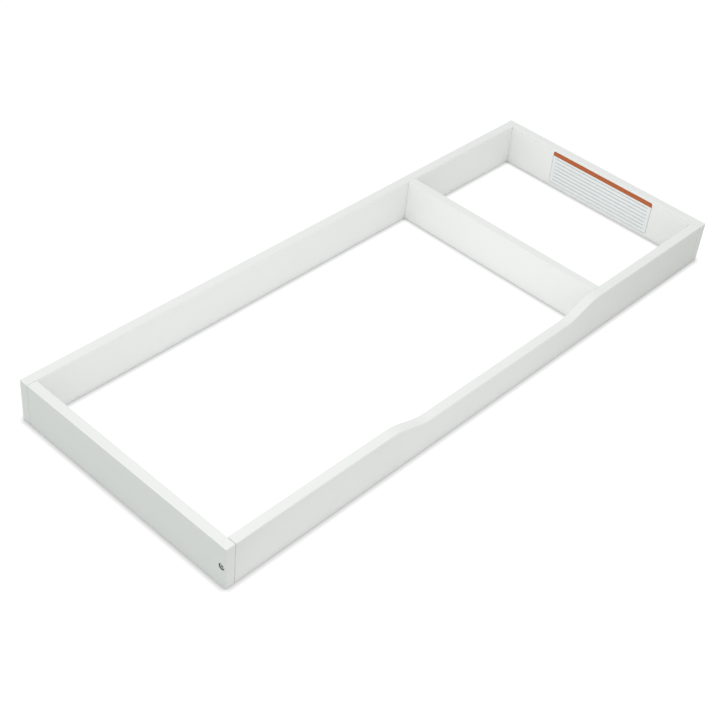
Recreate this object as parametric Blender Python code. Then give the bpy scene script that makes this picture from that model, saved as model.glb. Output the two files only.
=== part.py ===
"""Dresser top changer: a low open frame of five painted boards that holds a changing pad.

The back rail runs the whole length. Both end boards butt against it and cover the ends of the front
rail, whose top edge dips in the middle. A divider parts the pad bay from a storage bay. Every joint
is a butt joint with two blind dowels, and every joint but the divider's front one also has a
connector screw with a recessed hex-socket head.

Metres, +Z up. The origin is on the underside, at the middle of the frame's length and depth. The
front rail is towards -Y, and the storage bay is at the +X end.
"""

import math
from collections import namedtuple

import bmesh
import bpy
from mathutils import Matrix, Vector

# Frame of boards
FRAME_LENGTH = 1.220
FRAME_DEPTH = 0.475
FRAME_HEIGHT = 0.084
BOARD_THICKNESS = 0.018
PAD_BAY_LENGTH = 0.867
EDGE_RADIUS = 0.0010
JOINT_GAP = 0.0003

# Dip in the front rail's top edge, which ends where the divider starts
DIP_LENGTH = 0.542
DIP_DEPTH = 0.0205
DIP_RAMP_RUN = 0.064
DIP_BLEND_RADIUS = 0.105

# Connector screws, with lengths along their axes
SCREW_LENGTH = 0.050
SCREW_HEAD_DIAMETER = 0.009
SCREW_HEAD_RIM = 0.0050
SCREW_SHANK_DIAMETER = 0.007
SCREW_CORE_DIAMETER = 0.005
SCREW_TIP_LENGTH = 0.004
SCREW_SOCKET_WIDTH = 0.004
SCREW_SOCKET_DEPTH = 0.0030
SCREW_HEAD_SINK = 0.0010
SCREW_HEAD_CLEARANCE = 0.0015

# Dowels
DOWEL_DIAMETER = 0.008
DOWEL_LENGTH = 0.030
DOWEL_CHAMFER = 0.0010
DOWEL_SEAT_DEPTH = 0.010
DOWEL_SPACING = 0.040

# Clearance of fasteners in their holes, how far a cut runs past a face, and the weld distance
FIT_GAP = 0.0003
CUT_OVERRUN = 0.002
WELD_DISTANCE = 0.00001

# Sides of a hexagon, and the fineness of rounded shapes
HEXAGON_SIDES = 6
ROUND_SIDES = 32
BLEND_STEPS = 12
EDGE_SEGMENTS = 3
SHARP_ANGLE = math.radians(30)

# Places worked out from the sizes above
HALF_LENGTH = FRAME_LENGTH / 2
HALF_DEPTH = FRAME_DEPTH / 2
HALF_BOARD = BOARD_THICKNESS / 2
MID_HEIGHT = FRAME_HEIGHT / 2
DIVIDER_LEFT_FACE = BOARD_THICKNESS + PAD_BAY_LENGTH - HALF_LENGTH
DIVIDER_CENTRE = DIVIDER_LEFT_FACE + HALF_BOARD
FRONT_RAIL_CENTRE = HALF_BOARD - HALF_DEPTH
BACK_RAIL_CENTRE = HALF_DEPTH - HALF_BOARD
LEFT_END_CENTRE = HALF_BOARD - HALF_LENGTH
RIGHT_END_CENTRE = HALF_LENGTH - HALF_BOARD

# Directions and turns
UP = Vector((0, 0, 1))
TO_LEFT = Vector((-1, 0, 0))
TO_RIGHT = Vector((1, 0, 0))
TO_FRONT = Vector((0, -1, 0))
TO_BACK = Vector((0, 1, 0))
QUARTER_TURN = math.pi / 2
FULL_TURN = 2 * math.pi

# A joint has an outer board, a board whose end meets it, the joint's place on the outer board's
# outer face, the way out of the wood there, and perhaps a screw
Joint = namedtuple("Joint", "name outer_board entered_board x y outward screwed")

JOINTS = (
    Joint("front_left", "left_end_board", "front_rail", -HALF_LENGTH, FRONT_RAIL_CENTRE, TO_LEFT, True),
    Joint("front_right", "right_end_board", "front_rail", HALF_LENGTH, FRONT_RAIL_CENTRE, TO_RIGHT, True),
    Joint("back_left", "back_rail", "left_end_board", LEFT_END_CENTRE, HALF_DEPTH, TO_BACK, True),
    Joint("back_right", "back_rail", "right_end_board", RIGHT_END_CENTRE, HALF_DEPTH, TO_BACK, True),
    Joint("divider_back", "back_rail", "divider", DIVIDER_CENTRE, HALF_DEPTH, TO_BACK, True),
    Joint("divider_front", "front_rail", "divider", DIVIDER_CENTRE, -HALF_DEPTH, TO_FRONT, False),
)


def clear_scene():
    """Remove whatever the open file holds."""
    for thing in list(bpy.data.objects):
        bpy.data.objects.remove(thing, do_unlink=True)


def surface(name, colour, roughness, metallic):
    """A material with one Principled BSDF."""
    material = bpy.data.materials.new(name)
    material.use_nodes = True
    shader = material.node_tree.nodes["Principled BSDF"]
    shader.inputs["Base Color"].default_value = (*colour, 1)
    shader.inputs["Roughness"].default_value = roughness
    shader.inputs["Metallic"].default_value = metallic
    return material


def to_mesh(name, shape):
    """Turn a bmesh into a mesh."""
    mesh = bpy.data.meshes.new(name)
    shape.to_mesh(mesh)
    shape.free()
    return mesh


def add_object(name, mesh):
    """Put a mesh into the scene as an object."""
    thing = bpy.data.objects.new(name, mesh)
    bpy.context.scene.collection.objects.link(thing)
    return thing


def add_cutter(name, mesh):
    """A body that only cuts: it shows as wires and never renders."""
    cutter = add_object(name, mesh)
    cutter.display_type = "WIRE"
    cutter.hide_render = True
    return cutter


def cut(thing, cutter):
    """Take a cutter's shape out of an object."""
    modifier = thing.modifiers.new(cutter.name, "BOOLEAN")
    modifier.operation = "DIFFERENCE"
    modifier.solver = "EXACT"
    modifier.object = cutter


def arc(centre, radius, first_angle, last_angle):
    """Points of an arc, its angles measured from the first axis towards the second."""
    points = []
    for step in range(BLEND_STEPS + 1):
        angle = first_angle + (last_angle - first_angle) * step / BLEND_STEPS
        points.append((centre[0] + radius * math.cos(angle), centre[1] + radius * math.sin(angle)))
    return points


def dip_edge():
    """The front rail's top edge from the dip's right end to its left end, as (x, z) points.

    Each end is an S-curve: a crest arc, a straight ramp, and a hollow arc that runs into the low flat.
    """
    slope = math.atan2(DIP_DEPTH, DIP_RAMP_RUN)
    ramp_length = DIP_RAMP_RUN + 2 * DIP_BLEND_RADIUS * math.tan(slope / 2)
    right_end = DIVIDER_LEFT_FACE
    left_end = right_end - DIP_LENGTH
    crest_height = FRAME_HEIGHT - DIP_BLEND_RADIUS
    hollow_height = FRAME_HEIGHT - DIP_DEPTH + DIP_BLEND_RADIUS
    right_crest = (right_end, crest_height)
    right_hollow = (right_end - ramp_length, hollow_height)
    left_hollow = (left_end + ramp_length, hollow_height)
    left_crest = (left_end, crest_height)
    return [
        *arc(right_crest, DIP_BLEND_RADIUS, QUARTER_TURN, QUARTER_TURN + slope),
        *arc(right_hollow, DIP_BLEND_RADIUS, slope - QUARTER_TURN, -QUARTER_TURN),
        *arc(left_hollow, DIP_BLEND_RADIUS, -QUARTER_TURN, -QUARTER_TURN - slope),
        *arc(left_crest, DIP_BLEND_RADIUS, QUARTER_TURN - slope, QUARTER_TURN),
    ]


def board(name, length, place, turn, paint, top_edge=()):
    """A painted board on its long edge: its own X runs along it and its own Y through it.

    top_edge holds what lies between its upper corners, from right to left.
    """
    half = length / 2
    outline = [(-half, 0), (half, 0), (half, FRAME_HEIGHT), *top_edge, (-half, FRAME_HEIGHT)]
    shape = bmesh.new()
    face = shape.faces.new([shape.verts.new((along, -HALF_BOARD, up)) for along, up in outline])
    extruded = bmesh.ops.extrude_face_region(shape, geom=[face])["geom"]
    far_side = [item for item in extruded if isinstance(item, bmesh.types.BMVert)]
    bmesh.ops.translate(shape, verts=far_side, vec=(0, BOARD_THICKNESS, 0))
    bmesh.ops.recalc_face_normals(shape, faces=shape.faces)
    thing = add_object(name, to_mesh(name, shape))
    thing.data.materials.append(paint)
    thing.location = place
    thing.rotation_euler = (0, 0, turn)
    easing = thing.modifiers.new("eased edges", "BEVEL")
    easing.width = EDGE_RADIUS
    easing.segments = EDGE_SEGMENTS
    easing.limit_method = "ANGLE"
    easing.angle_limit = SHARP_ANGLE
    return thing


def make_boards():
    """The five boards, by name."""
    paint = surface("white_paint", (0.82, 0.83, 0.82), 0.38, 0.0)
    end_length = FRAME_DEPTH - BOARD_THICKNESS - JOINT_GAP
    end_centre = end_length / 2 - HALF_DEPTH
    front_length = FRAME_LENGTH - 2 * (BOARD_THICKNESS + JOINT_GAP)
    divider_length = FRAME_DEPTH - 2 * (BOARD_THICKNESS + JOINT_GAP)
    boards = [
        board("back_rail", FRAME_LENGTH, (0, BACK_RAIL_CENTRE, 0), 0, paint),
        board("front_rail", front_length, (0, FRONT_RAIL_CENTRE, 0), 0, paint, dip_edge()),
        board("left_end_board", end_length, (LEFT_END_CENTRE, end_centre, 0), QUARTER_TURN, paint),
        board("right_end_board", end_length, (RIGHT_END_CENTRE, end_centre, 0), QUARTER_TURN, paint),
        board("divider", divider_length, (DIVIDER_CENTRE, 0, 0), QUARTER_TURN, paint),
    ]
    return {thing.name: thing for thing in boards}


def turned(name, profile):
    """A round body: a profile of (radius, height) points spun round Z."""
    shape = bmesh.new()
    rim = [shape.verts.new((radius, 0, height)) for radius, height in profile]
    lines = [shape.edges.new(pair) for pair in zip(rim, rim[1:])]
    bmesh.ops.spin(
        shape, geom=rim + lines, axis=UP, cent=(0, 0, 0), angle=FULL_TURN, steps=ROUND_SIDES
    )
    bmesh.ops.remove_doubles(shape, verts=shape.verts, dist=WELD_DISTANCE)
    bmesh.ops.recalc_face_normals(shape, faces=shape.faces)
    return to_mesh(name, shape)


def hexagon_bar(name, width, bottom, top):
    """A six-sided bar along Z, its width measured across flats."""
    shape = bmesh.new()
    radius = width / (2 * math.cos(math.pi / HEXAGON_SIDES))
    bmesh.ops.create_cone(
        shape, cap_ends=True, segments=HEXAGON_SIDES,
        radius1=radius, radius2=radius, depth=top - bottom,
    )
    bmesh.ops.translate(shape, verts=shape.verts, vec=(0, 0, (top + bottom) / 2))
    return to_mesh(name, shape)


def gathered(name, placed_bodies):
    """One mesh with a copy of each body, moved by its own matrix."""
    shape = bmesh.new()
    for body, place in placed_bodies:
        copy = body.copy()
        copy.transform(place)
        shape.from_mesh(copy)
        bpy.data.meshes.remove(copy)
    return to_mesh(name, shape)


def joint_place(joint):
    """A joint's matrix: +Z leads out of the outer board's face, and +Y up."""
    turn = Matrix((UP.cross(joint.outward), UP, joint.outward)).transposed()
    return Matrix.Translation((joint.x, joint.y, MID_HEIGHT)) @ turn.to_4x4()


def dowel_places(joint):
    """The matrices of a joint's lower and upper dowel, whose outer ends sit in the outer board."""
    seat = DOWEL_SEAT_DEPTH - BOARD_THICKNESS
    lower = Matrix.Translation((0, -DOWEL_SPACING / 2, seat))
    upper = Matrix.Translation((0, DOWEL_SPACING / 2, seat))
    return {"lower": joint_place(joint) @ lower, "upper": joint_place(joint) @ upper}


def screw_profile():
    """A cap screw from the middle of its head to its tip, from the outer board's face in."""
    head = SCREW_HEAD_DIAMETER / 2
    shank = SCREW_SHANK_DIAMETER / 2
    core = SCREW_CORE_DIAMETER / 2
    cone_top = -SCREW_HEAD_SINK - SCREW_HEAD_RIM
    tip = -SCREW_HEAD_SINK - SCREW_LENGTH
    return [
        (0, -SCREW_HEAD_SINK),
        (head, -SCREW_HEAD_SINK),
        (head, cone_top),
        (shank, cone_top - (head - shank)),
        (shank, (shank - core) - BOARD_THICKNESS),
        (core, -BOARD_THICKNESS),
        (core, tip + SCREW_TIP_LENGTH),
        (0, tip),
    ]


def screw_hole_profile():
    """The recess, conical seat and clearance hole in the outer board, and the pilot hole beyond."""
    head = SCREW_HEAD_DIAMETER / 2
    mouth = head + SCREW_HEAD_CLEARANCE
    clearance = SCREW_SHANK_DIAMETER / 2 + FIT_GAP
    pilot = SCREW_CORE_DIAMETER / 2 + FIT_GAP
    cone_top = -SCREW_HEAD_SINK - SCREW_HEAD_RIM - FIT_GAP * math.sqrt(2)
    step = -BOARD_THICKNESS - JOINT_GAP / 2
    end = -SCREW_HEAD_SINK - SCREW_LENGTH - FIT_GAP
    return [
        (0, CUT_OVERRUN),
        (mouth, CUT_OVERRUN),
        (mouth, cone_top + (mouth - head)),
        (clearance, cone_top - (head - clearance)),
        (clearance, step),
        (pilot, step),
        (pilot, end),
        (0, end),
    ]


def dowel_profile():
    """A dowel with chamfered ends, from its outer end inwards."""
    radius = DOWEL_DIAMETER / 2
    return [
        (0, 0),
        (radius - DOWEL_CHAMFER, 0),
        (radius, -DOWEL_CHAMFER),
        (radius, DOWEL_CHAMFER - DOWEL_LENGTH),
        (radius - DOWEL_CHAMFER, -DOWEL_LENGTH),
        (0, -DOWEL_LENGTH),
    ]


def dowel_hole_profile():
    """The two blind holes that a dowel fills, as one shape."""
    radius = DOWEL_DIAMETER / 2 + FIT_GAP
    end = -DOWEL_LENGTH - FIT_GAP
    return [
        (0, FIT_GAP),
        (radius, FIT_GAP),
        (radius, end),
        (0, end),
    ]


def bore_joints(boards):
    """Drill each joint's holes through both of its boards."""
    screw_hole = turned("screw_hole", screw_hole_profile())
    dowel_hole = turned("dowel_hole", dowel_hole_profile())
    for joint in JOINTS:
        holes = [(dowel_hole, place) for place in dowel_places(joint).values()]
        if joint.screwed:
            holes.append((screw_hole, joint_place(joint)))
        cutter = add_cutter(f"{joint.name}_holes", gathered(f"{joint.name}_holes", holes))
        cut(boards[joint.outer_board], cutter)
        cut(boards[joint.entered_board], cutter)


def socketed_screw():
    """The mesh of one connector screw, with the hex socket cut into its head."""
    blank = add_object("screw_blank", turned("screw_blank", screw_profile()))
    socket_floor = -SCREW_HEAD_SINK - SCREW_SOCKET_DEPTH
    bar = hexagon_bar("hex_bar", SCREW_SOCKET_WIDTH, socket_floor, CUT_OVERRUN)
    cutter = add_cutter("hex_bar", bar)
    cut(blank, cutter)
    screw = bpy.data.meshes.new_from_object(blank.evaluated_get(bpy.context.evaluated_depsgraph_get()))
    bpy.data.objects.remove(blank)
    bpy.data.objects.remove(cutter)
    return screw


def add_round_piece(name, mesh, place):
    """A turned piece put in its place."""
    piece = add_object(name, mesh)
    piece.matrix_world = place
    return piece


def smooth(mesh, material):
    """Shade a turned mesh smooth, but for its sharp edges, and give it its material."""
    mesh.shade_smooth()
    mesh.set_sharp_from_angle(angle=SHARP_ANGLE)
    mesh.materials.append(material)


def make_screws():
    """A connector screw for every screwed joint."""
    screw = socketed_screw()
    smooth(screw, surface("zinc_plated_steel", (0.62, 0.62, 0.60), 0.32, 1.0))
    return [
        add_round_piece(f"{joint.name}_screw", screw, joint_place(joint))
        for joint in JOINTS if joint.screwed
    ]


def make_dowels():
    """Two dowels for every joint."""
    dowel = turned("dowel", dowel_profile())
    smooth(dowel, surface("beech", (0.66, 0.48, 0.30), 0.6, 0.0))
    return [
        add_round_piece(f"{joint.name}_{level}_dowel", dowel, place)
        for joint in JOINTS for level, place in dowel_places(joint).items()
    ]


def main():
    """Build the changer, with every piece under one empty."""
    clear_scene()
    boards = make_boards()
    bore_joints(boards)
    changer = bpy.data.objects.new("changer", None)
    bpy.context.scene.collection.objects.link(changer)
    for piece in (*boards.values(), *make_screws(), *make_dowels()):
        piece.parent = changer


if __name__ == "__main__":
    main()
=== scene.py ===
"""Looks of a dresser top changer: painted boards, their fasteners, a blank sticker and a plain stage.

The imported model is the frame. Every board, screw and dowel of it is replaced by a finer piece in the
same place. Metres, +Z up, with the underside on the floor and the front rail towards -Y.
"""

import math

import bmesh
import bpy
from bpy.props import (
    FloatProperty, FloatVectorProperty, IntProperty, PointerProperty
)
from mathutils import Matrix, Vector


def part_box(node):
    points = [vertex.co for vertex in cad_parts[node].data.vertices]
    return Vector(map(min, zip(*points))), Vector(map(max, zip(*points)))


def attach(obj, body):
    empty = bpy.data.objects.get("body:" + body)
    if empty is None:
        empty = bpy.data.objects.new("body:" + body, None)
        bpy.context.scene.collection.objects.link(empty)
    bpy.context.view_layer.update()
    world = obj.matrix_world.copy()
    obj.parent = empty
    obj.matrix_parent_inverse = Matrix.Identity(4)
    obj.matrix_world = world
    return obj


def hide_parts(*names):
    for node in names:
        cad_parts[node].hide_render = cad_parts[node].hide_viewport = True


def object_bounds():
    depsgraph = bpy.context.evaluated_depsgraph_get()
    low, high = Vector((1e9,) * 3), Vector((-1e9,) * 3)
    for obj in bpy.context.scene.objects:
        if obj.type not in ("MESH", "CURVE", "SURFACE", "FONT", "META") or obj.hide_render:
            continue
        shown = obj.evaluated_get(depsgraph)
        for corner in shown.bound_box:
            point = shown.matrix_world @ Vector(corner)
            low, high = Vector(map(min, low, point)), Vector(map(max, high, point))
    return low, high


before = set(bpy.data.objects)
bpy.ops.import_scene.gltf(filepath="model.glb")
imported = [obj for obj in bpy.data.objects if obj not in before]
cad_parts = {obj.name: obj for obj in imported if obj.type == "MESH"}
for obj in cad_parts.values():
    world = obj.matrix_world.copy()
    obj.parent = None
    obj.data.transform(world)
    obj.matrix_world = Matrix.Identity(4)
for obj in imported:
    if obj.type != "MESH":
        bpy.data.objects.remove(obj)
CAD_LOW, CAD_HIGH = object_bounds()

bl_info = {
    "name": "Dresser top changer",
    "version": (1, 0, 0),
    "blender": (4, 5, 0),
    "location": "View3D > Sidebar > Changer",
    "description": "Builds the boards, fasteners, sticker and stage of a dresser top changer",
    "category": "Object",
}

BODY = "root"
DIPPED_BOARD = "front_rail"
LEFT_BOARD = "left_end_board"
STICKER_BOARD = "right_end_board"
INNER_BOARD = "divider"
BOARDS = ("back_rail", DIPPED_BOARD, LEFT_BOARD, STICKER_BOARD, INNER_BOARD)
OPEN_SEAM_BOARDS = (DIPPED_BOARD, LEFT_BOARD)
SCREWS = sorted(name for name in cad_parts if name.endswith("_screw"))
DOWELS = sorted(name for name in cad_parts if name.endswith("_dowel"))

PLACE_ON_PIECE = "place_on_piece"
OUTWARD = "outward"
SHEET_MAP = "sheet"
UP = Vector((0, 0, 1))
AXES = (Vector((1, 0, 0)), Vector((0, 1, 0)), UP)
WELD_DISTANCE = 0.00001
CUT_OVERRUN = 0.002
SMOOTH_LIMIT = math.radians(40)
EASE_LIMIT = math.radians(30)
FULL_TURN = 2 * math.pi
BLACK = (0, 0, 0, 1)
WHITE = (1, 1, 1, 1)

# What the settings that hold a length or a colour have in common
LENGTH = {"min": 0, "precision": 4, "unit": "LENGTH"}
COLOUR = {"size": 3, "min": 0, "max": 1, "subtype": "COLOR"}

# Steps round and along the small round shapes
SCREW_SIDES = 48
THREAD_STEPS = 8
SOCKET_SIDES = 6
SCREW_BORE_SIDES = 64
DOWEL_BORE_SIDES = 32
FLUTE_STEPS = 4
STICKER_CORNER_STEPS = 8

# Rays from a place on the floor that look for a touching edge, for the floor's painted contact shadow
CONTACT_SAMPLES = 8

# Shares of a screw's own sizes: its ridge across the pitch, its tip, and the point of its socket
RIDGE_SHARE = 0.5
TIP_SHARE = 0.55
TIP_END_SHARE = 0.08
SOCKET_POINT_SHARE = 0.1
SOCKET_POINT_DEPTH_SHARE = 0.4

# Darkest and lightest share of its own colour that a finish shows
PAINT_SHARES = (0.985, 1.015)
RAW_BOARD_SHARES = (0.6, 1.4)
STEEL_SHARES = (0.88, 1.1)
BEECH_SHARES = (0.78, 1.2)
FLECK_SHARE = 0.45
FILM_SHARES = (0.98, 1.02)
BAND_SHARES = (0.93, 1.07)

# Share of the first pattern where two are laid over each other
PEEL_SHARE = 0.75
FIBRE_SHARE = 0.7
RING_SHARE = 0.5
INK_SHARE = 0.75

# Features of a pattern in a metre
CLOUDS_PER_METRE = 6
PEEL_PER_METRE = 420
SPRAY_PER_METRE = 2400
FIBRES_PER_METRE = 2600
LAYERS_PER_METRE = 700
SPANGLES_PER_METRE = 900
GRAIN_PER_METRE = 900
FLECKS_PER_METRE = 2200
MOTTLE_PER_METRE = 900

# Angle that the wave of the turning rings gains in a metre across and along a screw
RINGS_ACROSS = 9000
RINGS_ALONG = 2500

# How the beech's patterns are stretched along a dowel, and where and how sharply a fleck starts
GRAIN_STRETCH = (1, 1, 0.05)
FLECK_STRETCH = (1, 1, 0.15)
FLECK_LEVEL = 0.62
FLECK_SHARPNESS = 6

# Depth of a finish's relief
PEEL_DEPTH = 0.00003
FIBRE_DEPTH = 0.0001
TURNING_DEPTH = 0.00001
GRAIN_DEPTH = 0.00005
MOTTLE_DEPTH = 0.00001

# Roughness of a finish, and what its patterns add to it
PAINT_ROUGHNESS = 0.36
PAINT_ROUGHNESS_SPREAD = 0.06
RAW_BOARD_ROUGHNESS = 0.8
RAW_BOARD_ROUGHNESS_SPREAD = 0.15
STEEL_ROUGHNESS = 0.26
SPANGLE_ROUGHNESS_SPREAD = 0.12
RING_ROUGHNESS_SPREAD = 0.05
BEECH_ROUGHNESS = 0.55
BEECH_ROUGHNESS_SPREAD = 0.15
FILM_ROUGHNESS = 0.34
FILM_ROUGHNESS_SPREAD = 0.08
BAND_ROUGHNESS_RISE = 0.06


class ChangerBoards(bpy.types.PropertyGroup):
    """Shape of the painted boards."""

    edge_radius: FloatProperty(
        name="Edge radius", description="Easing of every edge of a board",
        default=0.0010, **LENGTH,
    )
    edge_segments: IntProperty(
        name="Edge segments", description="Faces round an eased edge", default=5, min=1,
    )
    open_seam: FloatProperty(
        name="Open seam", description="Gap where the front rail and the left end board butt",
        default=0.0005, min=0, precision=5, unit="LENGTH",
    )
    tight_seam: FloatProperty(
        name="Tight seam", description="Gap where the other boards butt",
        default=0.00005, min=0, precision=5, unit="LENGTH",
    )
    dip_length: FloatProperty(
        name="Dip length", description="Length of the dip in the front rail's top edge",
        default=0.542, **LENGTH,
    )
    dip_depth: FloatProperty(
        name="Dip depth", description="How far the dip's flat lies below the top edge",
        default=0.0205, **LENGTH,
    )
    dip_ramp_run: FloatProperty(
        name="Ramp run", description="Length along the rail in which a sharp ramp would fall",
        default=0.064, min=0.001, precision=4, unit="LENGTH",
    )
    dip_blend_radius: FloatProperty(
        name="Blend radius", description="Radius of the arcs that blend each ramp into the flats",
        default=0.105, min=0.001, precision=4, unit="LENGTH",
    )
    columns: IntProperty(
        name="Columns", description="Steps along the board whose edge dips", default=260, min=2,
    )


class ChangerFasteners(bpy.types.PropertyGroup):
    """Shape of the connector screws and the dowels."""

    shank_diameter: FloatProperty(
        name="Shank", description="Diameter of a screw's shank and of its thread",
        default=0.007, **LENGTH,
    )
    core_diameter: FloatProperty(
        name="Core", description="Diameter of a screw under its thread",
        default=0.005, **LENGTH,
    )
    thread_pitch: FloatProperty(
        name="Thread pitch", description="Distance from one turn of the thread to the next",
        default=0.003, min=0.0005, precision=4, unit="LENGTH",
    )
    tip_length: FloatProperty(
        name="Tip", description="Length of a screw's pointed tip",
        default=0.004, **LENGTH,
    )
    head_rim: FloatProperty(
        name="Head rim", description="Height of the straight rim above the conical seat",
        default=0.005, **LENGTH,
    )
    head_chamfer: FloatProperty(
        name="Head chamfer", description="Chamfer round the top of a screw's head",
        default=0.0003, **LENGTH,
    )
    socket_width: FloatProperty(
        name="Socket width", description="Width across the flats of the hexagonal socket",
        default=0.004, **LENGTH,
    )
    socket_depth: FloatProperty(
        name="Socket depth", description="Depth of the socket's straight walls",
        default=0.0030, **LENGTH,
    )
    head_clearance: FloatProperty(
        name="Head clearance", description="Gap round a screw's head in its recess",
        default=0.0015, **LENGTH,
    )
    bore_clearance: FloatProperty(
        name="Bore clearance", description="Gap round a shank or a dowel in its hole",
        default=0.0003, **LENGTH,
    )
    dowel_chamfer: FloatProperty(
        name="Dowel chamfer", description="Chamfer at both ends of a dowel",
        default=0.001, **LENGTH,
    )
    flute_count: IntProperty(
        name="Flutes", description="Pressed flutes round a dowel", default=16, min=3,
    )
    flute_depth: FloatProperty(
        name="Flute depth", description="Depth of a dowel's flutes",
        default=0.0003, **LENGTH,
    )


class ChangerSticker(bpy.types.PropertyGroup):
    """Size and print of the blank write-on sticker."""

    length: FloatProperty(
        name="Length", description="Length along the board",
        default=0.240, **LENGTH,
    )
    height: FloatProperty(
        name="Height", description="Height up the board",
        default=0.0707, **LENGTH,
    )
    foot: FloatProperty(
        name="Foot", description="Height of the sticker's lower edge above the board's",
        default=0.0084, **LENGTH,
    )
    thickness: FloatProperty(
        name="Thickness", description="Thickness of the film",
        default=0.0002, min=0, precision=5, unit="LENGTH",
    )
    corner_radius: FloatProperty(
        name="Corner radius", description="Radius of the sticker's corners",
        default=0.004, **LENGTH,
    )
    band_height: FloatProperty(
        name="Band height", description="Height of the coloured band along the top",
        default=0.0098, **LENGTH,
    )
    outline_width: FloatProperty(
        name="Outline width", description="Width of the printed outline",
        default=0.0006, min=0, precision=5, unit="LENGTH",
    )
    rule_count: IntProperty(
        name="Rules", description="Ruled lines under the band", default=7, min=0,
    )
    rule_width: FloatProperty(
        name="Rule width", description="Width of a ruled line",
        default=0.0009, min=0, precision=5, unit="LENGTH",
    )
    side_margin: FloatProperty(
        name="Side margin", description="Clear space beside the ruled lines",
        default=0.008, **LENGTH,
    )
    head_margin: FloatProperty(
        name="Head margin", description="Distance from the band down to the first ruled line",
        default=0.0053, **LENGTH,
    )
    foot_margin: FloatProperty(
        name="Foot margin", description="Distance from the last ruled line down to the edge",
        default=0.0082, **LENGTH,
    )


class ChangerFinish(bpy.types.PropertyGroup):
    """Colours of the finishes."""

    paint: FloatVectorProperty(
        name="Paint", description="Satin white paint of the boards",
        default=(0.895, 0.905, 0.897), **COLOUR,
    )
    # Dark grey bare board. It is partly the real bare fibreboard of the holes and butted ends, and
    # partly painted shade: the colour is made dark so the recesses and seams look shaded.
    bare_board_and_shade: FloatVectorProperty(
        name="Raw board", description="Bare fibreboard in the drilled holes and on butted ends",
        default=(0.22, 0.21, 0.19), **COLOUR,
    )
    steel: FloatVectorProperty(
        name="Steel", description="Zinc plating of the screws",
        default=(0.52, 0.53, 0.54), **COLOUR,
    )
    beech: FloatVectorProperty(
        name="Beech", description="Wood of the dowels",
        default=(0.62, 0.43, 0.27), **COLOUR,
    )
    film: FloatVectorProperty(
        name="Film", description="White film of the sticker",
        default=(0.86, 0.885, 0.895), **COLOUR,
    )
    band: FloatVectorProperty(
        name="Band", description="Coloured band of the sticker",
        default=(0.47, 0.103, 0.014), **COLOUR,
    )
    ink: FloatVectorProperty(
        name="Ink", description="Grey ink of the sticker's outline and ruled lines",
        default=(0.12, 0.125, 0.13), **COLOUR,
    )


class ChangerStage(bpy.types.PropertyGroup):
    """Camera, light and floor."""

    camera_place: FloatVectorProperty(
        name="Camera place", description="Where the camera stands",
        default=(-1.5418, -1.2123, 1.5996), size=3, subtype="TRANSLATION",
    )
    camera_target: FloatVectorProperty(
        name="Camera target", description="What the middle of the picture shows",
        default=(-0.1339, -0.0464, 0.0400), size=3, subtype="TRANSLATION",
    )
    camera_roll: FloatProperty(
        name="Camera roll", description="Turn about the line of sight",
        default=math.radians(6.17), subtype="ANGLE",
    )
    camera_lens: FloatProperty(
        name="Lens", description="Focal length on a 36 mm frame, in millimetres",
        default=71.91, min=1, unit="CAMERA",
    )
    floor_size: FloatProperty(
        name="Floor size", description="Length of the floor's sides",
        default=30.0, min=1, unit="LENGTH",
    )
    # The floor colours below light the boards, and the camera does not see them. They are painted
    # light: pale along the left and fading darker to the right, darker beyond the left end, and whiter
    # inside the changer.
    floor_near_painted_light: FloatVectorProperty(
        name="Floor near", description="Pale floor along the changer's left, as it lights the boards",
        default=(0.80, 0.80, 0.80), **COLOUR,
    )
    floor_far_painted_shade: FloatVectorProperty(
        name="Floor far", description="Darker floor along its right, as it lights the boards",
        default=(0.37, 0.37, 0.33), **COLOUR,
    )
    painted_falloff_start: FloatProperty(
        name="Fade start", description="Place along X from which the pale floor turns darker",
        default=0.05, precision=4, unit="LENGTH",
    )
    painted_falloff_run: FloatProperty(
        name="Fade run", description="Length along X in which the floor turns darker",
        default=0.55, min=0.001, precision=4, unit="LENGTH",
    )
    floor_left_painted_shade: FloatVectorProperty(
        name="Floor left", description="Dark floor beyond the left end, as it lights the boards",
        default=(0.325, 0.365, 0.35), **COLOUR,
    )
    floor_inside_painted_light: FloatVectorProperty(
        name="Floor inside", description="White floor inside the changer, as it lights the boards",
        default=(0.98, 0.98, 0.98), **COLOUR,
    )
    floor_glow: FloatProperty(
        name="Floor glow", description="Share of white that the floor shows whatever the lamps do",
        default=1.0, min=0, max=1,
    )
    floor_share: FloatProperty(
        name="Floor share", description="Share of the light that falls on the floor which it shows",
        default=0.06, min=0, max=1,
    )
    # Painted shadow on the floor along every touching edge.
    contact_shade_reach: FloatProperty(
        name="Contact reach", description="How far the dark of a touching edge spreads on the floor",
        default=0.0117, **LENGTH,
    )
    contact_shade: FloatProperty(
        name="Contact shade", description="How dark a touching edge makes the floor, up to 1",
        default=0.88, min=0, max=1,
    )
    room: FloatVectorProperty(
        name="Room", description="Colour of the room's even light",
        default=(0.98, 1.0, 0.98), **COLOUR,
    )
    room_strength: FloatProperty(
        name="Room strength", description="Strength of the room's even light",
        default=0.757, min=0,
    )
    room_lean: FloatProperty(
        name="Room lean", description="How much brighter the room is on the left",
        default=0.375, min=0,
    )
    key_place: FloatVectorProperty(
        name="Key place", description="Middle of the softbox, which faces straight down",
        default=(-0.60, -0.32, 1.2), size=3, subtype="TRANSLATION",
    )
    key_size: FloatProperty(
        name="Key size", description="Length of the softbox's sides",
        default=0.9, min=0.01, unit="LENGTH",
    )
    key_power: FloatProperty(
        name="Key power", description="Power of the softbox",
        default=2.3, min=0, unit="POWER",
    )
    key_colour: FloatVectorProperty(
        name="Key colour", description="Colour of the softbox's light",
        default=(1.0, 0.95, 0.99), **COLOUR,
    )


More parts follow.
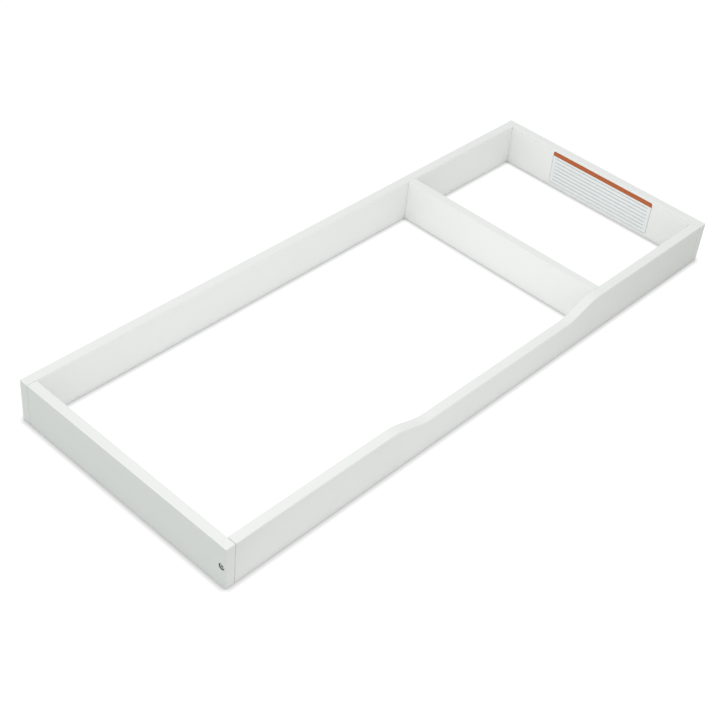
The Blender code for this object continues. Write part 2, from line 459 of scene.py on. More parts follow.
class ChangerSettings(bpy.types.PropertyGroup):
    """Everything that a user would change."""

    boards: PointerProperty(type=ChangerBoards)
    fasteners: PointerProperty(type=ChangerFasteners)
    sticker: PointerProperty(type=ChangerSticker)
    finish: PointerProperty(type=ChangerFinish)
    stage: PointerProperty(type=ChangerStage)


class Value:
    """A number in a node tree that can be used in sums."""

    def __init__(self, graph, socket):
        self.graph = graph
        self.socket = socket

    def math(self, operation, *others, turned=False):
        """The outcome of a Math node on this number and others."""
        terms = (*others, self) if turned else (self, *others)
        node = self.graph.node("ShaderNodeMath", {"operation": operation}, dict(enumerate(terms)))
        return Value(self.graph, node.outputs[0])

    def __add__(self, other):
        return self.math("ADD", other)

    def __sub__(self, other):
        return self.math("SUBTRACT", other)

    def __rsub__(self, other):
        return self.math("SUBTRACT", other, turned=True)

    def __mul__(self, other):
        return self.math("MULTIPLY", other)

    def __truediv__(self, other):
        return self.math("DIVIDE", other)

    def __rtruediv__(self, other):
        return self.math("DIVIDE", other, turned=True)

    __radd__ = __add__
    __rmul__ = __mul__

    def least(self, other):
        return self.math("MINIMUM", other)

    def most(self, other):
        return self.math("MAXIMUM", other)

    def above(self, other):
        return self.math("GREATER_THAN", other)

    def below(self, other):
        return self.math("LESS_THAN", other)

    def between(self, low, high):
        return self.most(low).least(high)

    def root(self):
        return self.math("SQRT")

    def size(self):
        return self.math("ABSOLUTE")


class Graph:
    """A node tree that is being built."""

    def __init__(self, tree):
        self.tree = tree

    def node(self, kind, settings=None, inputs=None):
        """Add a node with its settings, and then give its sockets their values or links."""
        node = self.tree.nodes.new(kind)
        for name, value in (settings or {}).items():
            setattr(node, name, value)
        for key, value in (inputs or {}).items():
            self.feed(socket_of(node, key), value)
        return node

    def feed(self, socket, value):
        """Link a socket to a value of the tree, or set its own."""
        if isinstance(value, Value):
            value = value.socket
        if isinstance(value, bpy.types.NodeSocket):
            self.tree.links.new(value, socket)
        else:
            socket.default_value = value

    def value(self, node, output=0):
        """A node's output as a number for sums."""
        return Value(self, node.outputs[output])

    def place(self):
        """The place on a piece, by its Object coordinates."""
        return self.node("ShaderNodeTexCoord").outputs["Object"]

    def parts(self, vector):
        """The three numbers of a vector."""
        node = self.node("ShaderNodeSeparateXYZ", inputs={0: vector})
        return [self.value(node, axis) for axis in "XYZ"]

    def noise(self, place, scale, detail=2.0, roughness=0.5):
        """Noise about 0.5 whose features are about 1 / scale metres wide."""
        settings = {"noise_dimensions": "3D"}
        inputs = {"Vector": place, "Scale": scale, "Detail": detail, "Roughness": roughness}
        return self.value(self.node("ShaderNodeTexNoise", settings, inputs), 0)

    def stretched(self, place, factors):
        """A place with its axes stretched."""
        settings = {"operation": "MULTIPLY"}
        return self.node("ShaderNodeVectorMath", settings, {0: place, 1: factors}).outputs[0]

    def mixed(self, factor, first, second):
        """A colour between two others."""
        settings = {"data_type": "RGBA", "clamp_factor": True}
        node = self.node("ShaderNodeMix", settings, {"Factor": factor, "A": first, "B": second})
        return next(socket for socket in node.outputs if socket.enabled)

    def varied(self, pattern, colour, shares):
        """A colour that a pattern takes from its darkest share to its lightest."""
        darkest, lightest = shares
        return self.mixed(pattern, opaque(colour, darkest), opaque(colour, lightest))


def socket_of(node, key):
    """A node's input by number, or the enabled one of that name."""
    if isinstance(key, int):
        return node.inputs[key]
    return next(socket for socket in node.inputs if socket.enabled and socket.name == key)


def opaque(colour, share=1.0):
    """A property's colour with its alpha, and perhaps darker or lighter."""
    return (*(channel * share for channel in colour), 1)


def finish_material(name, metallic=0.0):
    """A new material and its graph."""
    material = bpy.data.materials.new(name)
    material.use_nodes = True
    material.node_tree.nodes["Principled BSDF"].inputs["Metallic"].default_value = metallic
    return material, Graph(material.node_tree)


def dress(graph, tone, roughness, relief, depth):
    """Give a material its colour, its roughness, and a relief of 0 to 1 times a depth."""
    normal = graph.node("ShaderNodeBump", inputs={"Height": relief, "Distance": depth}).outputs[0]
    shader = graph.tree.nodes["Principled BSDF"]
    for name, value in (("Base Color", tone), ("Roughness", roughness), ("Normal", normal)):
        graph.feed(shader.inputs[name], value)


def attribute_place(graph, name):
    """The place on a piece that an attribute holds."""
    settings = {"attribute_type": "GEOMETRY", "attribute_name": name}
    return graph.node("ShaderNodeAttribute", settings).outputs["Vector"]


def white_paint():
    """Sprayed satin paint on fibreboard, with a faint orange peel."""
    colour = settings().finish.paint
    material, graph = finish_material("white_paint")
    place = graph.place()
    clouds = graph.noise(place, CLOUDS_PER_METRE, detail=3)
    peel = graph.noise(place, PEEL_PER_METRE)
    spray = graph.noise(place, SPRAY_PER_METRE)
    roughness = PAINT_ROUGHNESS + (clouds + peel) * PAINT_ROUGHNESS_SPREAD
    relief = peel * PEEL_SHARE + spray * (1 - PEEL_SHARE)
    dress(graph, graph.varied(clouds, colour, PAINT_SHARES), roughness, relief, PEEL_DEPTH)
    return material


def bare_board_and_shade():
    """Bare fibreboard with short pressed fibres, its colour made dark and grey as painted shade in the
    holes and seams that it lines.
    """
    colour = settings().finish.bare_board_and_shade
    material, graph = finish_material("bare_board_and_shade")
    place = graph.place()
    fibres = graph.noise(place, FIBRES_PER_METRE, detail=4, roughness=0.7)
    layers = graph.noise(place, LAYERS_PER_METRE)
    pressed = fibres * FIBRE_SHARE + layers * (1 - FIBRE_SHARE)
    roughness = RAW_BOARD_ROUGHNESS + fibres * RAW_BOARD_ROUGHNESS_SPREAD
    dress(graph, graph.varied(pressed, colour, RAW_BOARD_SHARES), roughness, fibres, FIBRE_DEPTH)
    return material


def zinc_plated_steel():
    """Zinc plating over turned steel, with fine rings about the screw's axis."""
    colour = settings().finish.steel
    material, graph = finish_material("zinc_plated_steel", metallic=1.0)
    place = attribute_place(graph, PLACE_ON_PIECE)
    across, along, height = graph.parts(place)
    radius = (across * across + along * along).root()
    rings = (radius * RINGS_ACROSS + height * RINGS_ALONG).math("SINE") / 2 + 0.5
    spangles = graph.noise(place, SPANGLES_PER_METRE, detail=3)
    roughness = STEEL_ROUGHNESS + spangles * SPANGLE_ROUGHNESS_SPREAD + rings * RING_ROUGHNESS_SPREAD
    relief = rings * RING_SHARE + spangles * (1 - RING_SHARE)
    dress(graph, graph.varied(spangles, colour, STEEL_SHARES), roughness, relief, TURNING_DEPTH)
    return material


def beech():
    """Beech with grain along the dowel and short dark flecks."""
    colour = settings().finish.beech
    material, graph = finish_material("beech")
    place = attribute_place(graph, PLACE_ON_PIECE)
    along_grain = graph.stretched(place, GRAIN_STRETCH)
    grain = graph.noise(along_grain, GRAIN_PER_METRE, detail=3, roughness=0.6)
    flecks = graph.noise(graph.stretched(place, FLECK_STRETCH), FLECKS_PER_METRE, detail=1)
    tone = graph.varied(grain, colour, BEECH_SHARES)
    flecked = (flecks - FLECK_LEVEL) * FLECK_SHARPNESS
    marked = graph.mixed(flecked, tone, opaque(colour, FLECK_SHARE))
    dress(graph, marked, BEECH_ROUGHNESS + grain * BEECH_ROUGHNESS_SPREAD, grain, GRAIN_DEPTH)
    return material


def sticker_film():
    """Printed film: a plain coloured band, an outline, and evenly spaced ruled lines."""
    finish, sheet = settings().finish, settings().sticker
    material, graph = finish_material("sticker_film")
    across, up, _ = graph.parts(graph.node("ShaderNodeUVMap", {"uv_map": SHEET_MAP}).outputs[0])
    in_band = up.above(sheet.height - sheet.band_height)
    edge_gap = across.least(sheet.length - across).least(up.least(sheet.height - up))
    on_outline = edge_gap.below(sheet.outline_width)
    first_rule = sheet.height - sheet.band_height - sheet.head_margin
    spacing = (first_rule - sheet.foot_margin) / max(sheet.rule_count - 1, 1)
    from_rule = ((up - sheet.foot_margin) / spacing).math("PINGPONG", 0.5) * spacing
    beside = across.above(sheet.side_margin) * across.below(sheet.length - sheet.side_margin)
    between = up.above(sheet.foot_margin - spacing / 2) * up.below(first_rule + spacing / 2)
    on_rule = from_rule.below(sheet.rule_width / 2) * beside * between
    inked = on_outline.most(on_rule) * (1 - in_band)
    mottle = graph.noise(graph.place(), MOTTLE_PER_METRE)
    film = graph.varied(mottle, finish.film, FILM_SHARES)
    density = INK_SHARE + mottle * (1 - INK_SHARE)
    printed = graph.mixed(inked * density, film, opaque(finish.ink))
    band = graph.varied(mottle, finish.band, BAND_SHARES)
    roughness = FILM_ROUGHNESS + mottle * FILM_ROUGHNESS_SPREAD + in_band * BAND_ROUGHNESS_RISE
    dress(graph, graph.mixed(in_band, printed, band), roughness, mottle, MOTTLE_DEPTH)
    return material


def stage_floor():
    """A plain floor: white where it is seen, except for its shadows and a painted shadow along a
    touching edge. The colour that lights the boards holds painted light and shade.
    """
    stage = settings().stage
    material = bpy.data.materials.new("stage_floor")
    material.use_nodes = True
    graph = Graph(material.node_tree)
    material.node_tree.nodes.remove(material.node_tree.nodes["Principled BSDF"])
    across, along, _ = graph.parts(graph.place())
    inside = across.size().below(CAD_HIGH.x) * along.size().below(CAD_HIGH.y)
    # Painted light and shade in the floor's bounce colour: pale on the left and fading darker to the
    # right, darker beyond the left end, whiter inside the changer.
    fade = (across - stage.painted_falloff_start) / stage.painted_falloff_run
    beside = graph.mixed(fade, opaque(stage.floor_near_painted_light), opaque(stage.floor_far_painted_shade))
    painted_light_around = graph.mixed(across.below(CAD_LOW.x), beside, opaque(stage.floor_left_painted_shade))
    painted_bounce_light = graph.mixed(inside, painted_light_around, opaque(stage.floor_inside_painted_light))
    reach = {"Distance": stage.contact_shade_reach}
    steps = {"samples": CONTACT_SAMPLES}
    # Painted shadow: occlusion near a touching edge darkens the floor where the camera sees it, and
    # darkens the light that the floor throws onto the boards' feet.
    contact = graph.value(graph.node("ShaderNodeAmbientOcclusion", steps, reach), "AO")
    shade = 1 - (1 - contact) * stage.contact_shade
    lit = matt(graph, graph.mixed(shade, BLACK, painted_bounce_light))
    seen = matt(graph, shade * stage.floor_share, shade, stage.floor_glow)
    both = graph.node("ShaderNodeMixShader", inputs={0: in_view(graph), 1: lit, 2: seen})
    graph.feed(material.node_tree.nodes["Material Output"].inputs["Surface"], both.outputs[0])
    return material


def matt(graph, colour, glow=BLACK, strength=0.0):
    """A matt shader that may glow."""
    return graph.node("ShaderNodeBsdfPrincipled", inputs={
        "Base Color": colour, "Roughness": 1.0, "Specular IOR Level": 0.0,
        "Emission Color": glow, "Emission Strength": strength,
    }).outputs[0]


def in_view(graph):
    """1 for what the camera, a mirror or a glass sees, and 0 for what lights a surface."""
    path = graph.node("ShaderNodeLightPath")
    seen = graph.value(path, "Is Camera Ray").most(graph.value(path, "Is Glossy Ray"))
    return seen.most(graph.value(path, "Is Transmission Ray"))


def settings():
    """The scene's settings of the changer."""
    return bpy.context.scene.changer


def add_object(name, mesh):
    """Put a mesh into the scene as an object at the origin."""
    thing = bpy.data.objects.new(name, mesh)
    bpy.context.scene.collection.objects.link(thing)
    return thing


def finished_mesh(thing):
    """An object's mesh with its modifiers and its place applied, taking the object away."""
    evaluated = thing.evaluated_get(bpy.context.evaluated_depsgraph_get())
    mesh = bpy.data.meshes.new_from_object(evaluated)
    mesh.transform(thing.matrix_world)
    bpy.data.objects.remove(thing)
    keep_used_materials(mesh)
    return mesh


def keep_used_materials(mesh):
    """Take the material slots that no face uses off a mesh."""
    indices = [face.material_index for face in mesh.polygons]
    used = sorted(set(indices))
    kept = [mesh.materials[index] for index in used if index < len(mesh.materials)]
    mesh.materials.clear()
    for material in kept:
        mesh.materials.append(material)
    mesh.polygons.foreach_set("material_index", [used.index(index) for index in indices])


def with_even_normals(mesh):
    """Shade a mesh smooth, but for its sharp edges, with its flat faces kept flat."""
    mesh.shade_smooth()
    mesh.set_sharp_from_angle(angle=SMOOTH_LIMIT)
    thing = add_object("shading", mesh)
    weighting = thing.modifiers.new("weighting", "WEIGHTED_NORMAL")
    weighting.keep_sharp = True
    return finished_mesh(thing)


def add_piece(name, mesh, nodes):
    """A finished piece of the changer that stands for CAD nodes."""
    piece = add_object(name, mesh)
    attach(piece, BODY)
    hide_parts(*nodes)
    return piece


def new_tree(name, sockets):
    """A Geometry Nodes tree with named inputs, its graph, and the sockets of its inputs."""
    tree = bpy.data.node_groups.new(name, "GeometryNodeTree")
    tree.is_modifier = True
    for label, kind in sockets:
        tree.interface.new_socket(label, in_out="INPUT", socket_type=f"NodeSocket{kind}")
    tree.interface.new_socket("Geometry", in_out="OUTPUT", socket_type="NodeSocketGeometry")
    graph = Graph(tree)
    group = graph.node("NodeGroupInput")
    return tree, graph, {label: group.outputs[label] for label, _ in sockets}


def end_tree(graph, geometry, material):
    """Close a tree with plain geometry in one finish."""
    plain = graph.node("GeometryNodeRealizeInstances", inputs={"Geometry": geometry})
    finish = {"Geometry": plain.outputs[0], "Material": material}
    dressed = graph.node("GeometryNodeSetMaterial", inputs=finish)
    graph.node("NodeGroupOutput", inputs={"Geometry": dressed.outputs[0]})


def add_tree(thing, tree, values):
    """Put a tree on an object as a modifier, with its inputs set by identifier."""
    modifier = thing.modifiers.new(tree.name, "NODES")
    modifier.node_group = tree
    for item in tree.interface.items_tree:
        if item.in_out == "INPUT" and item.name in values:
            modifier[item.identifier] = values[item.name]
    return modifier


def dip_drop(graph, along, inputs):
    """How far the top edge lies below its flats: crest arc, straight ramp, hollow arc, low flat."""
    radius = Value(graph, inputs["Blend Radius"])
    slope = Value(graph, inputs["Slope"])
    into_dip = (along - inputs["Dip Start"]).least(inputs["Dip End"] - along)
    knee = radius * slope.math("SINE")
    steepness = slope.math("TANGENT")
    ramp = Value(graph, inputs["Dip Depth"]) / steepness + radius * (slope / 2).math("TANGENT") * 2
    on_crest = into_dip.between(0, knee)
    on_hollow = (ramp - into_dip).between(0, knee)
    on_ramp = (into_dip - knee).between(0, ramp - knee * 2)
    crest_height = (radius * radius - on_crest * on_crest).root()
    hollow_height = (radius * radius - on_hollow * on_hollow).root()
    return on_ramp * steepness + hollow_height - crest_height + radius * (1 - slope.math("COSINE"))


def board_tree():
    """A board along X on its long edge, whose top edge may dip between two places."""
    tree, graph, inputs = new_tree("painted_board", (
        ("Length", "Float"), ("Height", "Float"), ("Thickness", "Float"), ("Dip Start", "Float"),
        ("Dip End", "Float"), ("Dip Depth", "Float"), ("Slope", "Float"), ("Blend Radius", "Float"),
        ("Columns", "Int"), ("Finish", "Material"),
    ))
    side = graph.node("GeometryNodeMeshGrid", inputs={
        "Size X": inputs["Length"], "Size Y": inputs["Height"],
        "Vertices X": Value(graph, inputs["Columns"]) + 1, "Vertices Y": 2,
    })
    along, up, _ = graph.parts(graph.node("GeometryNodeInputPosition").outputs[0])
    height = Value(graph, inputs["Height"])
    lift = up / height + 0.5
    place = graph.node("ShaderNodeCombineXYZ", inputs={
        "X": along, "Y": Value(graph, inputs["Thickness"]) / 2,
        "Z": lift * (height - dip_drop(graph, along, inputs)),
    })
    shaped = graph.node("GeometryNodeSetPosition", inputs={
        "Geometry": side.outputs["Mesh"], "Position": place.outputs[0],
    })
    far_side = graph.node("GeometryNodeExtrudeMesh", {"mode": "FACES"}, {
        "Mesh": shaped.outputs[0], "Offset Scale": inputs["Thickness"], "Individual": False,
    })
    near_side = graph.node("GeometryNodeFlipFaces", inputs={"Mesh": shaped.outputs[0]})
    joined = graph.node("GeometryNodeJoinGeometry")
    graph.feed(joined.inputs[0], far_side.outputs["Mesh"])
    graph.feed(joined.inputs[0], near_side.outputs[0])
    closed = graph.node("GeometryNodeMergeByDistance", inputs={
        "Geometry": joined.outputs[0], "Distance": WELD_DISTANCE,
    })
    end_tree(graph, closed.outputs[0], inputs["Finish"])
    return tree


def placing_tree():
    """Copies of one piece at marked points, each with its +Z turned to its point's direction."""
    tree, graph, inputs = new_tree("placed_pieces", (
        ("Geometry", "Geometry"), ("Piece", "Object"), ("Finish", "Material"),
    ))
    piece = graph.node("GeometryNodeObjectInfo", inputs={"Object": inputs["Piece"]})
    place = graph.node("GeometryNodeInputPosition").outputs[0]
    marked = graph.node("GeometryNodeStoreNamedAttribute", {"data_type": "FLOAT_VECTOR"}, {
        "Geometry": piece.outputs["Geometry"], "Name": PLACE_ON_PIECE, "Value": place,
    })
    direction = graph.node("GeometryNodeInputNamedAttribute", {"data_type": "FLOAT_VECTOR"},
                           {"Name": OUTWARD})
    turn = graph.node("FunctionNodeAlignRotationToVector", {"axis": "Z"}, {
        "Vector": direction.outputs["Attribute"],
    })
    placed = graph.node("GeometryNodeInstanceOnPoints", inputs={
        "Points": inputs["Geometry"], "Instance": marked.outputs[0], "Rotation": turn.outputs[0],
    })
    end_tree(graph, placed.outputs[0], inputs["Finish"])
    return tree


def turned(name, rings, sides, raised=None):
    """A closed round body about Z through (radius, height) rings, its surface perhaps raised."""
    shape = bmesh.new()
    rows = []
    for radius, height in rings:
        row = []
        for side in range(sides):
            turn = side / sides
            reach = radius + (raised(turn, height) if raised else 0)
            angle = FULL_TURN * turn
            row.append(shape.verts.new((reach * math.cos(angle), reach * math.sin(angle), height)))
        rows.append(row)
    for upper, lower in zip(rows, rows[1:]):
        for side in range(sides):
            after = (side + 1) % sides
            shape.faces.new((upper[side], lower[side], lower[after], upper[after]))
    shape.faces.new(rows[0])
    shape.faces.new(rows[-1])
    bmesh.ops.recalc_face_normals(shape, faces=shape.faces)
    mesh = bpy.data.meshes.new(name)
    shape.to_mesh(mesh)
    shape.free()
    return mesh


def fastener_facts(name):
    """A fastener's middle, axis towards the nearer outside, length and diameter, from the frame."""
    low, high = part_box(name)
    size = high - low
    index = max(range(3), key=lambda i: size[i])
    near_low_side = low[index] - CAD_LOW[index] < CAD_HIGH[index] - high[index]
    axis = -AXES[index] if near_low_side else AXES[index]
    return (low + high) / 2, axis, size[index], size[(index + 1) % 3]


def placed(name, unit, marks, tree, finish):
    """One mesh with a copy of a unit mesh at every (place, outward) mark."""
    points = bpy.data.meshes.new(name)
    points.from_pydata([place for place, _ in marks], [], [])
    outward = points.attributes.new(OUTWARD, "FLOAT_VECTOR", "POINT")
    for entry, (_, direction) in zip(outward.data, marks):
        entry.vector = direction
    source = add_object(f"{name}_unit", unit)
    thing = add_object(name, points)
    add_tree(thing, tree, {"Piece": source, "Finish": finish})
    mesh = finished_mesh(thing)
    bpy.data.objects.remove(source)
    return mesh


def screw_marks():
    """The top of every screw's head, with the way out of the wood."""
    facts = [fastener_facts(name) for name in SCREWS]
    return [(middle + axis * length / 2, axis) for middle, axis, length, _ in facts]


def dowel_marks():
    """The middle and the axis of every dowel."""
    facts = [fastener_facts(name) for name in DOWELS]
    return [(middle, axis) for middle, axis, _, _ in facts]


def screw_mesh():
    """A connector screw whose cap head tops out at its origin, with a hexagonal socket."""
    sizes = settings().fasteners
    _, _, length, head_diameter = fastener_facts(SCREWS[0])
    head, shank, core = head_diameter / 2, sizes.shank_diameter / 2, sizes.core_diameter / 2
    thread_start = head_sink() - board_thickness()
    thread_end = sizes.tip_length - length
    rows = round((thread_start - thread_end) / sizes.thread_pitch * THREAD_STEPS)
    rings = [
        (head - sizes.head_chamfer, 0), (head, -sizes.head_chamfer), (head, -sizes.head_rim),
        (shank, -sizes.head_rim - (head - shank)), (shank, thread_start + (shank - core)),
    ]
    for row in range(rows + 1):
        rings.append((core, thread_start + (thread_end - thread_start) * row / rows))
    rings += [
        (core * TIP_SHARE, thread_end - sizes.tip_length * TIP_SHARE),
        (core * TIP_END_SHARE, -length),
    ]

    def thread(turn, height):
        """Height of the helical ridge, which fades out at both ends of the thread."""
        if not thread_end <= height <= thread_start:
            return 0
        phase = (height / sizes.thread_pitch - turn) % 1
        crest = max(0.0, 1 - abs(phase - 0.5) * 2 / RIDGE_SHARE)
        fade = min(1, (thread_start - height) / sizes.thread_pitch,
                   (height - thread_end) / sizes.thread_pitch)
        return (shank - core) * crest * fade

    blank = add_object("screw_blank", turned("screw_blank", rings, SCREW_SIDES, thread))
    corner = sizes.socket_width / 2 / math.cos(FULL_TURN / 2 / SOCKET_SIDES)
    chamfer = sizes.head_chamfer
    socket_rings = [
        (corner + chamfer + CUT_OVERRUN, CUT_OVERRUN), (corner, -chamfer),
        (corner, -sizes.socket_depth),
        (corner * SOCKET_POINT_SHARE, -sizes.socket_depth - corner * SOCKET_POINT_DEPTH_SHARE),
    ]
    cutter = add_object("socket_cutter", turned("socket_cutter", socket_rings, SOCKET_SIDES))
    cut(blank, cutter)
    mesh = finished_mesh(blank)
    bpy.data.objects.remove(cutter)
    return mesh


def dowel_mesh():
    """A beech dowel about its middle, with chamfered ends and pressed flutes."""
    sizes = settings().fasteners
    _, _, length, diameter = fastener_facts(DOWELS[0])
    radius, half, chamfer = diameter / 2, length / 2, sizes.dowel_chamfer
    flute_end = half - chamfer * 2
    rings = [
        (radius - chamfer, half), (radius, half - chamfer), (radius, flute_end),
        (radius, -flute_end), (radius, chamfer - half), (radius - chamfer, -half),
    ]
    sides = sizes.flute_count * FLUTE_STEPS

    def flutes(turn, height):
        """Depth of the pressed flutes, between the plain ends."""
        in_flute = round(turn * sides) % FLUTE_STEPS == 0
        return -sizes.flute_depth if in_flute and abs(height) <= flute_end else 0

    return turned("dowel", rings, sides, flutes)


def screw_bore_mesh():
    """The recess, conical seat and holes that a screw needs, from outside the board inwards."""
    sizes = settings().fasteners
    _, _, length, head_diameter = fastener_facts(SCREWS[0])
    head, gap = head_diameter / 2, sizes.bore_clearance
    mouth = head + sizes.head_clearance
    clearance = sizes.shank_diameter / 2 + gap
    pilot = sizes.core_diameter / 2 + gap
    cone_top = -sizes.head_rim - gap
    step = head_sink() - board_thickness()
    rings = [
        (mouth, head_sink() + CUT_OVERRUN), (mouth, cone_top + (mouth - head)),
        (clearance, cone_top - (head - clearance)), (clearance, step), (pilot, step),
        (pilot, -length - gap),
    ]
    return turned("screw_bore", rings, SCREW_BORE_SIDES)


def dowel_bore_mesh():
    """The blind holes that a dowel fills."""
    _, _, length, diameter = fastener_facts(DOWELS[0])
    gap = settings().fasteners.bore_clearance
    radius, reach = diameter / 2 + gap, length / 2 + gap
    return turned("dowel_bore", [(radius, reach), (radius, -reach)], DOWEL_BORE_SIDES)


def head_sink():
    """How far a screw's head lies below the board's face."""
    middle, axis, length, _ = fastener_facts(SCREWS[0])
    top = middle + axis * length / 2
    face = CAD_HIGH if sum(axis) > 0 else CAD_LOW
    return abs((face - top).dot(axis))


def board_thickness():
    """The boards' common thickness."""
    low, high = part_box(BOARDS[0])
    return min(high - low)


def cut(thing, cutter):
    """Take a cutter's shape out of an object and give the cut faces the cutter's finish."""
    cutter.display_type = "WIRE"
    cutter.hide_render = True
    modifier = thing.modifiers.new(cutter.name, "BOOLEAN")
    modifier.operation = "DIFFERENCE"
    modifier.solver = "EXACT"
    modifier.material_mode = "TRANSFER"
    modifier.object = cutter


def joint_gap():
    """The gap that the frame leaves between a board's end and the board it butts against."""
    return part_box(DIPPED_BOARD)[0].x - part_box(LEFT_BOARD)[1].x


def board_box(name):
    """A board's box, with the board's own seam where it butts, and the index of its long axis."""
    low, high = (corner.copy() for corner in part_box(name))
    index = 0 if high.x - low.x > high.y - low.y else 1
    sizes = settings().boards
    seam = sizes.open_seam if name in OPEN_SEAM_BOARDS else sizes.tight_seam
    trim = seam - joint_gap()
    if low[index] - CAD_LOW[index] > WELD_DISTANCE:
        low[index] += trim
    if CAD_HIGH[index] - high[index] > WELD_DISTANCE:
        high[index] -= trim
    return low, high, index


def bare_butted_ends(mesh, low, high, index, bare_and_shade):
    """Give the ends of a board that butt against another board the finish of bare board, whose dark
    colour also paints shade into the seam.
    """
    ends = ((low[index], CAD_LOW[index]), (high[index], CAD_HIGH[index]))
    butted = [end for end, outside in ends if abs(end - outside) > WELD_DISTANCE]
    slot = mesh.materials.find(bare_and_shade.name)
    for face in mesh.polygons:
        if any(abs(face.center[index] - end) < WELD_DISTANCE for end in butted):
            face.material_index = slot


def make_board(name, tree, bores, paint, bare_and_shade):
    """One painted board in the place of its CAD node, drilled for its fasteners."""
    sizes = settings().boards
    low, high, index = board_box(name)
    size = high - low
    middle = (low + high) / 2
    dip_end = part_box(INNER_BOARD)[0].x - middle.x
    dipped = name == DIPPED_BOARD
    thing = add_object(name, bpy.data.meshes.new(name))
    add_tree(thing, tree, {
        "Length": size[index], "Height": size.z, "Thickness": size[1 - index],
        "Dip Start": dip_end - sizes.dip_length, "Dip End": dip_end,
        "Dip Depth": sizes.dip_depth if dipped else 0.0,
        "Slope": math.atan2(sizes.dip_depth, sizes.dip_ramp_run) if dipped else 0.0,
        "Blend Radius": sizes.dip_blend_radius, "Columns": sizes.columns if dipped else 1,
        "Finish": paint,
    })
    turn = Matrix.Rotation(index * FULL_TURN / 4, 4, "Z")
    thing.matrix_world = Matrix.Translation((middle.x, middle.y, low.z)) @ turn
    easing = thing.modifiers.new("eased edges", "BEVEL")
    easing.width = sizes.edge_radius
    easing.segments = sizes.edge_segments
    easing.limit_method = "ANGLE"
    easing.angle_limit = EASE_LIMIT
    cut(thing, bores)
    mesh = finished_mesh(thing)
    bare_butted_ends(mesh, low, high, index, bare_and_shade)
    return add_piece(f"{name}_painted", with_even_normals(mesh), [name])


def sheet_outline(length, height, radius):
    """The corners of a sheet with round corners, from its lower left, as (across, up) places."""
    points = []
    for corner, (across, up) in enumerate((
        (radius, radius), (length - radius, radius),
        (length - radius, height - radius), (radius, height - radius),
    )):
        for step in range(STICKER_CORNER_STEPS + 1):
            angle = FULL_TURN / 4 * (corner + 2 + step / STICKER_CORNER_STEPS)
            points.append((across + radius * math.cos(angle), up + radius * math.sin(angle)))
    return points


def sticker_mesh():
    """The film on the end board's inner face, midway along it, with a map of its own in metres."""
    sheet = settings().sticker
    low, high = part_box(STICKER_BOARD)
    start = (low.y + high.y + sheet.length) / 2
    foot = low.z + sheet.foot
    shape = bmesh.new()
    sheet_map = shape.loops.layers.uv.new(SHEET_MAP)
    outline = sheet_outline(sheet.length, sheet.height, sheet.corner_radius)
    layers = []
    for depth in (0, sheet.thickness):
        layers.append([
            shape.verts.new((low.x - depth, start - across, foot + up)) for across, up in outline
        ])
    back, front = layers
    shape.faces.new(back)
    shape.faces.new(front)
    count = len(outline)
    for corner in range(count):
        after = (corner + 1) % count
        shape.faces.new((back[corner], back[after], front[after], front[corner]))
    bmesh.ops.recalc_face_normals(shape, faces=shape.faces)
    for face in shape.faces:
        for loop in face.loops:
            loop[sheet_map].uv = (start - loop.vert.co.y, loop.vert.co.z - foot)
    mesh = bpy.data.meshes.new("sticker")
    shape.to_mesh(mesh)
    shape.free()
    return mesh


class CHANGER_OT_boards(bpy.types.Operator):
    """Build the five painted boards, drilled for their fasteners"""

    bl_idname = "changer.boards"
    bl_label = "Boards"

    def execute(self, context):
        bare_and_shade = bare_board_and_shade()
        tree = placing_tree()
        bores = bpy.data.meshes.new("bores")
        both = bmesh.new()
        for unit, marks in ((screw_bore_mesh(), screw_marks()), (dowel_bore_mesh(), dowel_marks())):
            both.from_mesh(placed("bores", unit, marks, tree, bare_and_shade))
        both.to_mesh(bores)
        both.free()
        bores.materials.append(bare_and_shade)
        cutter = add_object("bores", bores)
        paint = white_paint()
        boards = board_tree()
        for name in BOARDS:
            make_board(name, boards, cutter, paint, bare_and_shade)
        bpy.data.objects.remove(cutter)
        return {"FINISHED"}


class CHANGER_OT_screws(bpy.types.Operator):
    """Build the connector screws"""

    bl_idname = "changer.screws"
    bl_label = "Screws"

    def execute(self, context):
        unit = screw_mesh()
        mesh = placed("connector_screws", unit, screw_marks(), placing_tree(), zinc_plated_steel())
        add_piece("connector_screws", with_even_normals(mesh), SCREWS)
        return {"FINISHED"}


class CHANGER_OT_dowels(bpy.types.Operator):
    """Build the dowels"""

    bl_idname = "changer.dowels"
    bl_label = "Dowels"

    def execute(self, context):
        mesh = placed("fluted_dowels", dowel_mesh(), dowel_marks(), placing_tree(), beech())
        add_piece("fluted_dowels", with_even_normals(mesh), DOWELS)
        return {"FINISHED"}


class CHANGER_OT_sticker(bpy.types.Operator):
    """Stick the blank write-on sticker on the right end board"""

    bl_idname = "changer.sticker"
    bl_label = "Sticker"

    def execute(self, context):
        mesh = sticker_mesh()
        mesh.materials.append(sticker_film())
        sticker = add_object("write_on_sticker", mesh)
        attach(sticker, BODY)
        return {"FINISHED"}


class CHANGER_OT_stage(bpy.types.Operator):
    """Set the floor, the light and the camera"""

    bl_idname = "changer.stage"
    bl_label = "Stage"

    def execute(self, context):
        add_floor()
        add_room_light()
        add_key()
        add_camera()
        context.scene.view_settings.view_transform = "Standard"
        return {"FINISHED"}


def add_floor():
    """The floor that the changer stands on."""
    half = settings().stage.floor_size / 2
    corners = [(-half, -half, 0), (half, -half, 0), (half, half, 0), (-half, half, 0)]
    mesh = bpy.data.meshes.new("floor")
    mesh.from_pydata(corners, [], [(0, 1, 2, 3)])
    mesh.materials.append(stage_floor())
    add_object("floor", mesh)


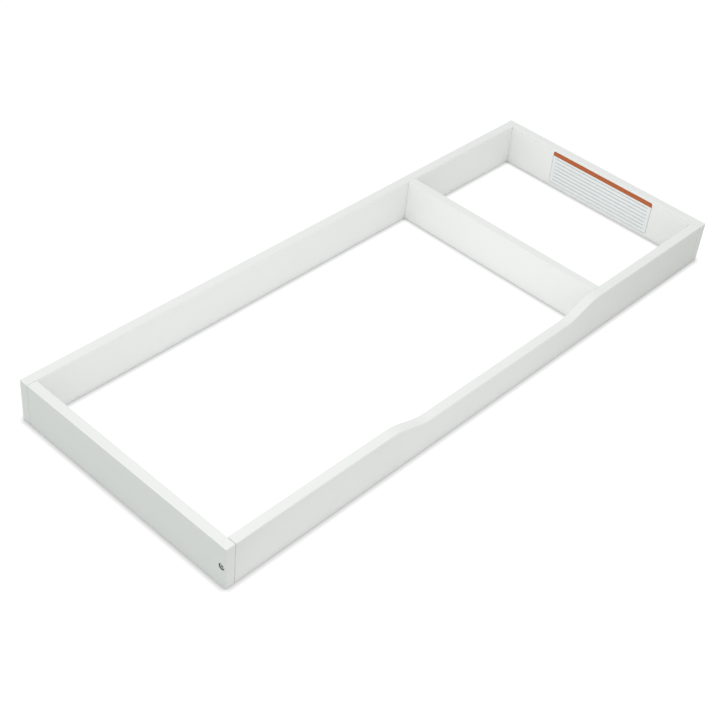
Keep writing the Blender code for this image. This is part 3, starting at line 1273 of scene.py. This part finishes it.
def add_room_light():
    """Even light from all round, and plain white where it is seen."""
    stage = settings().stage
    world = bpy.data.worlds.new("room")
    world.use_nodes = True
    graph = Graph(world.node_tree)
    lit = world.node_tree.nodes["Background"]
    lit.inputs["Color"].default_value = opaque(stage.room)
    across, _, _ = graph.parts(graph.node("ShaderNodeTexCoord").outputs["Generated"])
    leftward = (across * -1).most(0)
    graph.feed(lit.inputs["Strength"], stage.room_strength + leftward * stage.room_lean)
    seen = graph.node("ShaderNodeBackground", inputs={"Color": WHITE, "Strength": 1.0})
    shaders = {0: in_view(graph), 1: lit.outputs[0], 2: seen.outputs[0]}
    both = graph.node("ShaderNodeMixShader", inputs=shaders)
    graph.feed(world.node_tree.nodes["World Output"].inputs["Surface"], both.outputs[0])
    bpy.context.scene.world = world


def add_key():
    """A square softbox over the front left corner."""
    stage = settings().stage
    lamp = bpy.data.lights.new("key", "AREA")
    lamp.shape = "SQUARE"
    lamp.size = stage.key_size
    lamp.energy = stage.key_power
    lamp.color = stage.key_colour
    add_object("key", lamp).location = stage.key_place


def add_camera():
    """The camera, where the picture was taken from."""
    stage = settings().stage
    camera = bpy.data.cameras.new("camera")
    camera.lens = stage.camera_lens
    thing = add_object("camera", camera)
    place = Vector(stage.camera_place)
    aim = (Vector(stage.camera_target) - place).to_track_quat("-Z", "Y").to_matrix().to_4x4()
    roll = Matrix.Rotation(stage.camera_roll, 4, "Z")
    thing.matrix_world = Matrix.Translation(place) @ aim @ roll
    bpy.context.scene.camera = thing


class CHANGER_PT_panel(bpy.types.Panel):
    """Settings of the changer, with a button for every group of pieces"""

    bl_idname = "CHANGER_PT_panel"
    bl_label = "Changer"
    bl_space_type = "VIEW_3D"
    bl_region_type = "UI"
    bl_category = "Changer"

    def draw(self, context):
        for group in ChangerSettings.__annotations__:
            box = self.layout.box()
            box.label(text=group.title())
            values = getattr(context.scene.changer, group)
            for name in values.__annotations__:
                box.prop(values, name)
        for operator in OPERATORS:
            self.layout.operator(operator.bl_idname)


OPERATORS = (
    CHANGER_OT_boards, CHANGER_OT_screws, CHANGER_OT_dowels, CHANGER_OT_sticker, CHANGER_OT_stage,
)
CLASSES = (
    ChangerBoards, ChangerFasteners, ChangerSticker, ChangerFinish, ChangerStage, ChangerSettings,
    *OPERATORS, CHANGER_PT_panel,
)


def register():
    for entry in CLASSES:
        bpy.utils.register_class(entry)
    bpy.types.Scene.changer = PointerProperty(type=ChangerSettings)


def unregister():
    del bpy.types.Scene.changer
    for entry in reversed(CLASSES):
        bpy.utils.unregister_class(entry)


def main():
    """Build everything in order."""
    register()
    bpy.ops.changer.boards()
    bpy.ops.changer.screws()
    bpy.ops.changer.dowels()
    bpy.ops.changer.sticker()
    bpy.ops.changer.stage()


if __name__ == "__main__":
    main()
